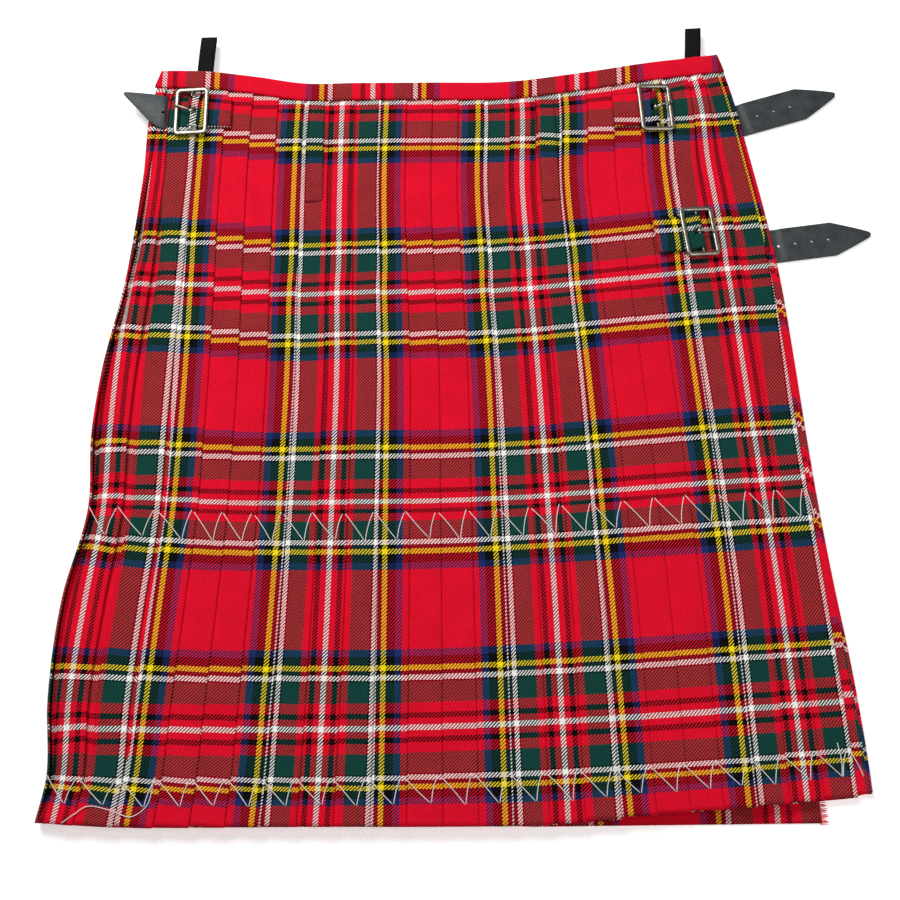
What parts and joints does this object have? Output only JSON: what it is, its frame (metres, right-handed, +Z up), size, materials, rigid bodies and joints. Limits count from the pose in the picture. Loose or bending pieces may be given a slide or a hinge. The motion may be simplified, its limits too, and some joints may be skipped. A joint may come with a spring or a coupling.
{
  "type": "scottish kilt laid flat",
  "caption": "Tartan kilt laid flat, pleated back up: knife pleats, folded waistband, aprons beneath, leather straps, centre-bar buckles on tabs, belt and hanger loops.",
  "frame": {"origin": "bottom centre of the bounding box of the kilt as it lies, on the surface it rests on", "axes": "+X to the viewer's right, +Y from hem to waist, +Z up away from the surface"},
  "size_m": [0.6392, 0.656, 0.0195],
  "materials": {
    "tartan": "2/2 twill tartan: red ground with green, blue, black, yellow and white stripes, soft matt wool",
    "fringe": "frayed twill edge, loose weft ends",
    "ribbon": "black woven tape, fine cross rib",
    "leather": "black grained leather, semi-matt, darker cut edges",
    "nickel": "nickel-plated casting, polished and slightly worn"
  },
  "bodies": {
    "kilt": {"apron_fringe_high": "fringe", "apron_fringe_low": "fringe", "belt_loop_left": "tartan", "belt_loop_right": "tartan", "buckle_left": "nickel", "buckle_right_low": "nickel", "buckle_right_top": "nickel", "hanger_left": "ribbon", "hanger_right": "ribbon", "over_apron": "tartan", "pleated_back": "tartan", "strap_left": "leather", "strap_right_low": "leather", "strap_right_top": "leather", "tab_left": "tartan", "tab_right_low": "tartan", "tab_right_top": "tartan", "under_apron": "tartan", "waistband_back": "tartan", "waistband_over_apron": "tartan", "waistband_under_apron": "tartan"},
    "left_prong": {"prong_left": "nickel"},
    "right_top_prong": {"prong_right_top": "nickel"},
    "right_low_prong": {"prong_right_low": "nickel"}
  },
  "joints": [
    {"name": "prong_left_hinge", "type": "hinge", "parent": "kilt", "child": "left_prong", "pos_m": [-0.23758, 0.24289, 0.01618], "axis": [0, 1, 0], "range_deg": [0, 115]},
    {"name": "prong_right_top_hinge", "type": "hinge", "parent": "kilt", "child": "right_top_prong", "pos_m": [0.14672, 0.24659, 0.01623], "axis": [0.0698, -0.9976, 0], "range_deg": [0, 115]},
    {"name": "prong_right_low_hinge", "type": "hinge", "parent": "kilt", "child": "right_low_prong", "pos_m": [0.17722, 0.13459, 0.01592], "axis": [0.1305, -0.9914, 0], "range_deg": [0, 115]}
  ]
}
